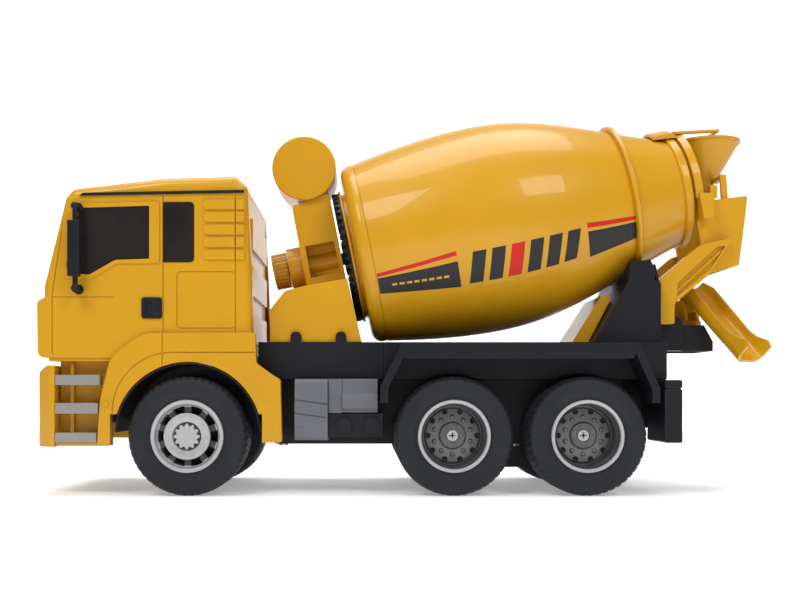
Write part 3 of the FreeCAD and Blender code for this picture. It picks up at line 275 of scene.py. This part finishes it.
# painted shade: near-black for the dark behind the front rims' spokes, the rear rims' holes and the screw's
# cross
PAINTED_SHADE_BLACK = plastic("painted_shade_black", (0.012, 0.011, 0.011), 0.7, grain=0.05, edge=1.0)

for node_name, piece in frame["nodes"].items():
    piece.data.materials.clear()
    piece.data.materials.append(PAINTS[SLOT_OF[node_name]])


# ---- mesh helpers ----
CRISP_ANGLE = 35.0                     # edges sharper than this stay crisp, degrees


def new_object(name, mesh, paint):
    piece = bpy.data.objects.new(name, mesh)
    bpy.context.collection.objects.link(piece)
    mesh.materials.append(paint)
    return piece


def lathe(profile, steps, reach=None):
    """Mesh turned about Z from (height, radius) points in mm.

    reach(height, radius, angle) may change a radius.
    """
    mesh = bpy.data.meshes.new("turned")
    verts, faces, first = [], [], []
    for height, radius in profile:
        first.append(len(verts))
        if radius == 0:
            verts.append((0, 0, height * MM))
            continue
        for i in range(steps):
            angle = 2 * math.pi * i / steps
            shown = reach(height, radius, angle) if reach else radius
            verts.append((shown * MM * math.cos(angle), shown * MM * math.sin(angle), height * MM))
    for row in range(len(profile) - 1):
        a, b = first[row], first[row + 1]
        for i in range(steps):
            j = (i + 1) % steps
            if profile[row][1] == 0:
                faces.append((a, b + j, b + i))
            elif profile[row + 1][1] == 0:
                faces.append((a + i, a + j, b))
            else:
                faces.append((a + i, a + j, b + j, b + i))
    mesh.from_pydata(verts, [], faces)
    mesh.validate()
    shape = bmesh.new()
    shape.from_mesh(mesh)
    bmesh.ops.recalc_face_normals(shape, faces=shape.faces)
    shape.to_mesh(mesh)
    shape.free()
    return mesh


def shade(mesh):
    """Smooth shading with sharp edges left crisp."""
    mesh.polygons.foreach_set("use_smooth", [True] * len(mesh.polygons))
    shape = bmesh.new()
    shape.from_mesh(mesh)
    for edge in shape.edges:
        edge.smooth = len(edge.link_faces) == 2 and edge.calc_face_angle(0.0) < math.radians(CRISP_ANGLE)
    shape.to_mesh(mesh)
    shape.free()


def smooth_profile(points, spacing):
    """Points along a profile with each corner (height, radius, rounding) turned into an arc."""
    rounded = []
    count = len(points)
    for i, point in enumerate(points):
        here = Vector(point[:2])
        if len(point) < 3 or i in (0, count - 1):
            rounded.append(tuple(here))
            continue
        back = (Vector(points[i - 1][:2]) - here).normalized()
        ahead = (Vector(points[i + 1][:2]) - here).normalized()
        half = back.angle(ahead) / 2
        reach = point[2] / math.tan(half)
        centre = here + (back + ahead).normalized() * (point[2] / math.sin(half))
        start, end = here + back * reach, here + ahead * reach
        turn = math.pi - 2 * half
        parts = max(2, round(point[2] * turn / spacing * 3))
        for k in range(parts + 1):
            share = k / parts
            spoke = (start - centre).lerp(end - centre, share)
            rounded.append(tuple(centre + spoke.normalized() * point[2]))
    return rounded


def prism(corners, low, high, soften=0.0):
    """Closed mesh with an outline in X and Y between two heights, mm; its edges are rounded by soften."""
    shape = bmesh.new()
    bottom = [shape.verts.new((x * MM, y * MM, low * MM)) for x, y in corners]
    top = [shape.verts.new((x * MM, y * MM, high * MM)) for x, y in corners]
    shape.faces.new(bottom[::-1])
    shape.faces.new(top)
    for i in range(len(corners)):
        j = (i + 1) % len(corners)
        shape.faces.new((bottom[i], bottom[j], top[j], top[i]))
    bmesh.ops.recalc_face_normals(shape, faces=shape.faces)
    if soften:
        sharp = [edge for edge in shape.edges if edge.calc_face_angle(0.0) > math.radians(30)]
        bmesh.ops.bevel(shape, geom=sharp, offset=soften * MM, segments=2, profile=0.5, affect="EDGES",
                        clamp_overlap=True)
    mesh = bpy.data.meshes.new("prism")
    shape.to_mesh(mesh)
    shape.free()
    return mesh


def ring_of(count, radius, first=0.0):
    """(x, y, angle) of evenly spaced places round a circle, mm."""
    for i in range(count):
        angle = math.radians(first) + 2 * math.pi * i / count
        yield radius * math.cos(angle), radius * math.sin(angle), angle


def assemble(name, parts):
    """One object from (mesh, paint) pairs."""
    shape, paints = bmesh.new(), []
    for mesh, paint in parts:
        if paint not in paints:
            paints.append(paint)
        mesh.polygons.foreach_set("material_index", [paints.index(paint)] * len(mesh.polygons))
        shape.from_mesh(mesh)
        bpy.data.meshes.remove(mesh)
    joined = bpy.data.meshes.new(name)
    shape.to_mesh(joined)
    shape.free()
    shade(joined)
    piece = bpy.data.objects.new(name, joined)
    bpy.context.collection.objects.link(piece)
    for paint in paints:
        joined.materials.append(paint)
    return piece


def moved(mesh, x=0.0, y=0.0, z=0.0, spin=0.0):
    """The same mesh, turned about Z and then shifted, mm."""
    mesh.transform(Matrix.Translation((x * MM, y * MM, z * MM)) @ Matrix.Rotation(spin, 4, "Z"))
    return mesh


# ---- wheels, made about Z from the inner face (height 0) to the outer face ----
TYRE_LOW, TYRE_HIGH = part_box("tyre_front_left")
TYRE_W = (TYRE_HIGH.y - TYRE_LOW.y) / MM
TYRE_R = (TYRE_HIGH.z - TYRE_LOW.z) / MM / 2
BEAD_R = 16.6
TREAD_NOTCHES = 48
TREAD_ROWS = 44                        # mesh rows across the tread
GROOVE_DEPTH, NOTCH_DEPTH = 0.95, 0.5
GROOVE_PLACES = (0.1, 5.2)             # from the middle of the tread, mm
GROOVE_HALF = 0.5                      # half its width, mm
ZIGZAG = 1.4                           # sideways swing of the grooves, mm
SHOULDER_FROM = 6.4                    # the notches start this far from the middle, mm
NOTCH_LEAN, NOTCH_SHARE = 0.08, 0.26   # slant, and part of the pitch that is cut away
ROUND = 128                            # sides of the rims' turned parts
TREAD_BAND = 1.4                       # only points this near the outside are cut, mm
FACE, DISC = TYRE_W - 0.15, 12.0       # outer edge of the rims, and face of the rear rims' disc
SCREW_Z = 11.9                         # seat of the axle screw
NUTS, NUT_RING = 10, 8.6               # wheel nuts, and radius of their circle
SPOKE_RING, HOLE_RING = 12.0, 11.4     # as many front spokes and rear holes as nuts, on these circles
HALF_STEP = 180 / NUTS                 # degrees from a nut to the middle of the next gap
CAP_R, CAP_WAVE, CAP_LOBES = 5.2, 0.75, 12   # scalloped middle of the front rims
FLUTES, FLUTE_RING = 30, 4.35          # fine ribs round the rear hubs


def tread(height, radius, angle):
    """Cuts zigzag grooves round the tread and notches into its shoulders."""
    across = abs(height - TYRE_W / 2)
    if radius < TYRE_R - TREAD_BAND:
        return radius
    phase = angle * TREAD_NOTCHES / (2 * math.pi) + (0.5 if height > TYRE_W / 2 else 0.0)
    zigzag = abs(phase % 1.0 - 0.5) * ZIGZAG
    in_groove = any(abs(across - place - zigzag) < GROOVE_HALF for place in GROOVE_PLACES)
    in_notch = across > SHOULDER_FROM and (phase + NOTCH_LEAN * across) % 1.0 < NOTCH_SHARE
    return radius - (GROOVE_DEPTH if in_groove else NOTCH_DEPTH if in_notch else 0.0)


def tyre_mesh():
    crown = TYRE_R - 0.02
    outer = [(TYRE_W - 2.0, BEAD_R), (TYRE_W - 0.9, BEAD_R + 0.1), (TYRE_W - 0.5, BEAD_R + 0.7),
             (TYRE_W - 0.85, BEAD_R + 1.1), (TYRE_W - 0.55, BEAD_R + 1.9), (TYRE_W - 0.15, BEAD_R + 3.3),
             (TYRE_W - 0.02, BEAD_R + 5.0), (TYRE_W - 0.15, BEAD_R + 7.0), (TYRE_W - 0.55, BEAD_R + 8.4),
             (TYRE_W - 0.8, BEAD_R + 8.5), (TYRE_W - 0.9, BEAD_R + 8.9), (TYRE_W - 1.5, BEAD_R + 9.4),
             (TYRE_W - 2.4, crown - 0.45), (TYRE_W - 3.2, crown - 0.12)]
    span = TYRE_W - 7.2
    tread_rows = [(TYRE_W - 3.6 - span * i / TREAD_ROWS, crown) for i in range(TREAD_ROWS + 1)]
    inner = [(TYRE_W - height, radius) for height, radius in reversed(outer)]
    inner[-1] = (1.0, BEAD_R)
    profile = outer + tread_rows + inner + [(TYRE_W - 2.0, BEAD_R)]
    return lathe(profile, TREAD_NOTCHES * 8, tread)


def nut(radius, height):
    """Hexagonal wheel nut with rounded edges."""
    corners = [(radius * math.cos(a), radius * math.sin(a)) for a in (math.radians(60 * i) for i in range(6))]
    return prism(corners, 0, height, 0.18 * radius)


def front_rim_parts():
    """Bright ring and hub, spokes painted in shade, nuts, a scalloped cap with a painted shade ring, and a
    disc of painted shade behind the spokes.
    """
    bright = PAINTS["bright_rim"]
    ring = lathe(smooth_profile([
        (2.0, BEAD_R - 0.05), (FACE - 0.9, BEAD_R - 0.05), (FACE, BEAD_R - 0.35, 0.35),
        (FACE - 0.1, 14.75, 0.5), (FACE - 2.6, 14.2, 0.3), (FACE - 3.0, 13.7, 0.3),
        (FACE - 5.0, 13.6), (FACE - 5.4, 14.2), (2.0, 14.6), (2.0, BEAD_R - 0.05)], 0.5), ROUND)
    hub = lathe(smooth_profile([
        (FACE - 8, 0), (FACE - 8, 10.0), (FACE - 2.6, 10.1), (FACE - 0.7, 10.6, 0.5),
        (FACE - 0.1, 10.2, 0.4), (FACE - 0.25, 6.6, 0.2), (FACE - 1.3, 6.3), (FACE - 1.3, 0)], 0.4), ROUND)
    parts = [(ring, bright), (hub, bright)]
    for x, y, angle in ring_of(NUTS, SPOKE_RING, HALF_STEP):
        spoke = prism([(-2.2, -1.35), (2.4, -1.75), (2.4, 1.75), (-2.2, 1.35)], FACE - 6.4, FACE - 3.2, 0.3)
        parts.append((moved(spoke, x, y, 0, angle), RIM_SHADE))
        step = prism([(-0.3, -1.5), (0.35, -1.5), (0.35, 1.5), (-0.3, 1.5)], FACE - 3.6, FACE - 2.4, 0.12)
        parts.append((moved(step, x + 1.5 * math.cos(angle), y + 1.5 * math.sin(angle), 0, angle), bright))
    for x, y, angle in ring_of(NUTS, NUT_RING):
        parts.append((moved(nut(0.62, 0.95), x, y, FACE - 0.3, angle), bright))
    cap = []
    for i in range(CAP_LOBES * 8):
        angle = 2 * math.pi * i / (CAP_LOBES * 8)
        radius = CAP_R + CAP_WAVE * max(-0.7, math.cos(CAP_LOBES * angle))
        cap.append((radius * math.cos(angle), radius * math.sin(angle)))
    parts.append((prism(cap, FACE - 1.4, FACE + 0.1, 0.0), bright))
    shade_ring = [(FACE - 1.4, 4.4), (FACE - 1.2, 4.4), (FACE - 1.2, 6.28), (FACE - 1.4, 6.28),
                  (FACE - 1.4, 4.4)]
    parts.append((lathe(shade_ring, 96), RIM_SHADE))
    # painted shade: a near-black disc behind the spokes darkens the slots between them
    slot_shade_disc = [(FACE - 10, 0), (FACE - 10, 13.4), (FACE - 10.4, 13.4), (FACE - 10.4, 0)]
    parts.append((lathe(slot_shade_disc, 64), PAINTED_SHADE_BLACK))
    return parts


def rear_rim_parts():
    """Bright barrel, well painted in shade, grey dish with dark discs of painted shade for holes, nuts, and a
    fluted hub.
    """
    grey = PAINTS["grey_rim"]
    barrel = lathe(smooth_profile([
        (2.0, BEAD_R - 0.05), (FACE - 0.9, BEAD_R - 0.05), (FACE, BEAD_R - 0.35, 0.35),
        (FACE - 0.1, 14.9, 0.5), (FACE - 1.6, 14.75), (DISC - 3, 14.75), (2.0, 14.75),
        (2.0, BEAD_R - 0.05)], 0.5), ROUND)
    well = lathe(smooth_profile([
        (DISC - 2.6, 14.7), (FACE - 1.5, 14.7), (FACE - 1.5, 14.6), (FACE - 5.0, 14.3, 0.3),
        (FACE - 5.2, 13.9, 0.2), (DISC + 0.4, 13.6, 0.3), (DISC - 1.2, 13.5),
        (DISC - 2.6, 13.5), (DISC - 2.6, 14.7)], 0.5), ROUND)
    dish = lathe(smooth_profile([
        (DISC - 2.8, 0), (DISC - 2.8, 13.6), (DISC - 1.1, 13.6), (DISC - 1.0, 12.9), (DISC, 12.3, 0.3),
        (DISC + 0.15, 7.2, 0.6), (DISC + 0.2, 6.5), (DISC - 0.25, 6.4), (DISC - 0.25, 6.1),
        (DISC + 1.0, 5.9, 0.4), (DISC + 1.5, 5.4, 0.2), (DISC + 1.15, 5.1),
        (DISC + 1.15, 3.3), (DISC + 1.5, 2.9), (DISC - 0.2, 2.75), (DISC - 0.2, 0)], 0.4), ROUND)
    parts = [(barrel, PAINTS["bright_rim"]), (well, RIM_SHADE), (dish, grey)]
    for x, y, angle in ring_of(NUTS, HOLE_RING):
        # painted shade: dark discs on the dish stand for its holes
        hole_shade_disc = lathe([(0.0, 0), (0.02, 1.3), (-0.2, 1.3), (-0.2, 0)], 24)
        tilt = Matrix.Rotation(angle, 4, "Z") @ Matrix.Rotation(math.radians(14), 4, "Y")
        hole_shade_disc.transform(Matrix.Translation((x * MM, y * MM, (DISC + 0.16) * MM)) @ tilt)
        parts.append((hole_shade_disc, PAINTED_SHADE_BLACK))
    for x, y, angle in ring_of(NUTS, NUT_RING, HALF_STEP):
        # painted shadow: a dark ring round each nut
        nut_shade_ring = lathe([(-0.1, 1.15), (0.05, 1.1), (0.05, 0.8), (-0.1, 0.8), (-0.1, 1.15)], 24)
        parts.append((moved(nut_shade_ring, x, y, DISC + 0.12), RIM_SHADE))
        parts.append((moved(nut(0.85, 0.9), x, y, DISC + 0.02, angle), grey))
    for x, y, angle in ring_of(FLUTES, FLUTE_RING):
        flute = prism([(-0.9, -0.14), (0.9, -0.22), (0.9, 0.22), (-0.9, 0.14)], DISC + 1.1, DISC + 1.6, 0.08)
        parts.append((moved(flute, x, y, 0, angle), grey))
    return parts


def axle_screw_parts():
    """Cross-head screw that holds a rear wheel."""
    steel = PAINTS["steel"]
    head = lathe(smooth_profile([(0, 0), (0, 2.35), (0.6, 2.35, 0.3), (1.15, 1.2, 0.4), (1.2, 0)], 0.3), 48)
    parts = [(head, steel)]
    for spin in (0, 90):
        # painted shade: two dark bars on the head stand for the cross slot
        cross_shade_bar = prism([(-1.5, -0.28), (1.5, -0.28), (1.5, 0.28), (-1.5, 0.28)], 0.9, 1.26, 0.0)
        parts.append((moved(cross_shade_bar, spin=math.radians(spin + 20)), PAINTED_SHADE_BLACK))
    return parts


def wheel_matrix(node_name, side):
    low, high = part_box(node_name)
    inner_face = high.y if side < 0 else low.y
    centre = Vector(((low.x + high.x) / 2, inner_face, (low.z + high.z) / 2))
    return Matrix.Translation(centre) @ Matrix.Rotation(math.radians(90 if side < 0 else -90), 4, "X")


def add_wheels():
    bodies = {"front_left": "wheel_front_left", "front_right": "wheel_front_right", "mid_left": "axle_mid",
              "mid_right": "axle_mid", "rear_left": "axle_rear", "rear_right": "axle_rear"}
    tyre_data = assemble("tyre_pattern", [(tyre_mesh(), PAINTS["tyre"])]).data
    screw = [(moved(mesh, z=SCREW_Z), paint) for mesh, paint in axle_screw_parts()]
    rims = {"front": assemble("front_pattern", front_rim_parts()).data,
            "mid": assemble("rear_pattern", rear_rim_parts() + screw).data}
    rims["rear"] = rims["mid"]
    for pattern in [thing for thing in bpy.data.objects if thing.name.endswith("_pattern")]:
        bpy.data.objects.remove(pattern)
    for place, body in bodies.items():
        side = -1 if place.endswith("left") else 1
        matrix = wheel_matrix("tyre_" + place, side)
        for name, data, slot in (("tyre", tyre_data, "tyre"),
                                 ("rim", rims[place.split("_")[0]], SLOT_OF["rim_" + place])):
            piece = bpy.data.objects.new(name + "_" + place + "_detail", data)
            bpy.context.collection.objects.link(piece)
            piece.matrix_world = matrix
            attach(piece, body)
            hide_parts(name + "_" + place)


# ---- prints on the drum; places are mm along its axis and degrees round it ----
DRUM_JOINT = next(joint for joint in frame["joints"] if joint["name"] == "drum_spin")
DRUM_ORIGIN = Vector(DRUM_JOINT["pos_m"])
DRUM_AXIS = Vector(DRUM_JOINT["axis"]).normalized()
DRUM_DOWN = Vector((DRUM_AXIS.z, 0, -DRUM_AXIS.x))
NEAR_SIDE = Vector((0, -1, 0))
CAST_FROM = 0.09                       # metres from the axis, outside the drum
FILM_STEP, FILM_COLUMNS = 0.7, 16      # longest mesh step along the drum, and columns round it
FILM_LIFT, FILM_UNDER = 0.10, 0.01     # heights of a film's upper and lower faces
TOP_LIFT = 0.16                        # upper face of a film that lies on another
PANELS = [[(1.9, 23.0, 32.8), (39.0, 20.5, 35.0)],
          [(101.0, 20.2, 36.4), (126.0, 23.4, 36.3)]]
STRIPES = [[(1.9, 20.0, 22.0), (39.0, 15.0, 17.2)],
           [(101.0, 15.0, 18.0), (126.0, 18.8, 21.6)]]
BAR_STARTS, RED_BAR = (43.0, 52.0, 61.0, 70.0, 79.0, 88.0), 2
BAR_TOP, BAR_LOW, BAR_SLANT, BAR_FLAT, BAR_REACH = 17.0, 34.0, 3.4, 6.2, 9.6
DASHES, DASH_START, DASH_PITCH, DASH_LENGTH = 8, 8.0, 3.4, 2.4
DASH_TOP, DASH_LOW = 27.2, 28.6


def drum_spoke(degrees):
    """Unit vector from the drum's axis; 0 points to the truck's left, 90 down."""
    angle = math.radians(degrees)
    return NEAR_SIDE * math.cos(angle) + DRUM_DOWN * math.sin(angle)


def on_drum_skin(along, degrees, lift):
    """Point on the drum's outer skin, found on the CAD mesh and lifted off it, mm."""
    centre = DRUM_ORIGIN + DRUM_AXIS * (along * MM)
    spoke = drum_spoke(degrees)
    _, place, normal, _ = frame["nodes"]["drum_shell"].ray_cast(centre + spoke * CAST_FROM, -spoke)
    return place + normal * (lift * MM)


def drum_patch(name, outlines, paint, lift=FILM_LIFT):
    """Thin printed film on both sides of the drum.

    Each outline is (along, top degrees, bottom degrees) from front to rear.
    """
    shape = bmesh.new()
    for outline in outlines:
        skins = []
        for height in (lift, FILM_UNDER):
            grid = []
            for (t0, top0, low0), (t1, top1, low1) in zip(outline, outline[1:]):
                steps = max(1, math.ceil(abs(t1 - t0) / FILM_STEP))
                for k in range(steps + (1 if (t1, top1, low1) == outline[-1] else 0)):
                    share = k / steps
                    along, top, low = (a + (b - a) * share for a, b in ((t0, t1), (top0, top1), (low0, low1)))
                    around = [top + (low - top) * j / FILM_COLUMNS for j in range(FILM_COLUMNS + 1)]
                    grid.append([shape.verts.new(on_drum_skin(along, degrees, height)) for degrees in around])
            skins.append(grid)
        upper, lower = skins
        rows, columns = len(upper), len(upper[0])
        for i in range(rows - 1):
            for j in range(columns - 1):
                shape.faces.new((upper[i][j], upper[i][j + 1], upper[i + 1][j + 1], upper[i + 1][j]))
                shape.faces.new((lower[i][j], lower[i + 1][j], lower[i + 1][j + 1], lower[i][j + 1]))
            for j in (0, columns - 1):
                shape.faces.new((upper[i][j], upper[i + 1][j], lower[i + 1][j], lower[i][j]))
        for i in (0, rows - 1):
            for j in range(columns - 1):
                shape.faces.new((upper[i][j], lower[i][j], lower[i][j + 1], upper[i][j + 1]))
    bmesh.ops.recalc_face_normals(shape, faces=shape.faces)
    for side, turn in (("left", 0), ("right", 180)):
        mesh = bpy.data.meshes.new(name)
        shape.to_mesh(mesh)
        about = Matrix.Translation(DRUM_ORIGIN) @ Matrix.Rotation(math.radians(turn), 4, DRUM_AXIS)
        mesh.transform(about @ Matrix.Translation(-DRUM_ORIGIN))
        shade(mesh)
        piece = new_object(name + "_" + side, mesh, paint)
        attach(piece, "drum")
    shape.free()


def add_drum_prints():
    drum_patch("print_panels", PANELS, DECAL_BLACK)
    drum_patch("print_stripes", STRIPES, DECAL_RED)
    bars = [[(start, BAR_LOW - 0.2, BAR_LOW), (start + BAR_SLANT, BAR_TOP, BAR_LOW),
             (start + BAR_FLAT, BAR_TOP, BAR_LOW), (start + BAR_REACH, BAR_TOP, BAR_TOP + 0.2)]
            for start in BAR_STARTS]
    drum_patch("print_bars", bars[:RED_BAR] + bars[RED_BAR + 1:], DECAL_BLACK)
    drum_patch("print_red_bar", bars[RED_BAR:RED_BAR + 1], DECAL_RED)
    dashes = [[(start, DASH_TOP, DASH_LOW), (start + DASH_LENGTH, DASH_TOP, DASH_LOW)]
              for start in (DASH_START + DASH_PITCH * i for i in range(DASHES))]
    drum_patch("print_dashes", dashes, PAINTS["yellow_plastic"], TOP_LIFT)


# ---- black inner housings over the wheels, mm ----
LINER_INNER_R, LINER_OUTER_R = 32.5, 33.1
LINER_OUT, LINER_IN = 49.4, 23.2       # distances from the truck's middle plane
LINER_WALL = 0.8                       # thickness
LINER_FLOOR = 50.6                     # lower edge of the wall behind the wheel
LINER_STEPS, WALL_STEPS = 48, 24
FILLERS = [  # label, X, distance from the middle plane, Z
    ("skirt", (-8.0, 106.0), (21.5, 23.0), (50.0, 57.0)),
    ("splash", (96.0, 113.0), (24.0, 25.5), (30.0, 53.4)),
]
SIDES = ((-1, "left"), (1, "right"))


def add_front_liners():
    """Black inner housing over each front wheel: an arched shell and the wall on its inner side."""
    low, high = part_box("tyre_front_left")
    centre_x, centre_z = (low.x + high.x) / 2, (low.z + high.z) / 2
    inner_r, outer_r, floor_z = LINER_INNER_R * MM, LINER_OUTER_R * MM, LINER_FLOOR * MM
    y_out, y_in = LINER_OUT * MM, LINER_IN * MM
    y_wall = y_in + LINER_WALL * MM
    angles = [math.radians(3 + 174 * i / LINER_STEPS) for i in range(LINER_STEPS + 1)]
    half_width = math.sqrt(inner_r ** 2 - (floor_z - centre_z) ** 2)
    start = math.atan2(floor_z - centre_z, half_width)
    arch = [start + (math.pi - 2 * start) * i / WALL_STEPS for i in range(1, WALL_STEPS + 1)]
    wall = [(centre_x - half_width, floor_z)]
    wall += [(centre_x - inner_r * math.cos(a), centre_z + inner_r * math.sin(a)) for a in arch]
    for side, name in SIDES:
        shape = bmesh.new()
        rings = []
        for y, radius in ((y_out, inner_r), (y_wall, inner_r), (y_in, outer_r), (y_out, outer_r)):
            rings.append([shape.verts.new((centre_x + radius * math.cos(a), side * y,
                                           centre_z + radius * math.sin(a))) for a in angles])
        for ring, following in zip(rings, rings[1:] + rings[:1]):
            for i in range(LINER_STEPS):
                shape.faces.new((ring[i], ring[i + 1], following[i + 1], following[i]))
        for end in (0, LINER_STEPS):
            shape.faces.new([ring[end] for ring in rings])
        near, far = ([shape.verts.new((x, side * y, z)) for x, z in wall] for y in (y_wall, y_in))
        shape.faces.new(near)
        shape.faces.new(far[::-1])
        for i in range(len(wall)):
            j = (i + 1) % len(wall)
            shape.faces.new((near[i], near[j], far[j], far[i]))
        bmesh.ops.recalc_face_normals(shape, faces=shape.faces)
        mesh = bpy.data.meshes.new("wheel_liner")
        shape.to_mesh(mesh)
        shape.free()
        shade(mesh)
        piece = new_object("front_liner_" + name, mesh, PAINTS["black_plastic"])
        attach(piece, "truck")


def add_chassis_fillers():
    """Black inner skirts that close the gaps above and behind the rear wheels."""
    for label, (x0, x1), distances, (z0, z1) in FILLERS:
        for side, name in SIDES:
            y0, y1 = sorted(side * distance for distance in distances)
            mesh = prism([(x0, y0), (x1, y0), (x1, y1), (x0, y1)], z0, z1, 0.2)
            shade(mesh)
            piece = new_object("rear_" + label + "_" + name, mesh, PAINTS["black_plastic"])
            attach(piece, "truck")


add_camera()
add_floor()
add_wheels()
add_drum_prints()
add_front_liners()
add_chassis_fillers()
set_light()
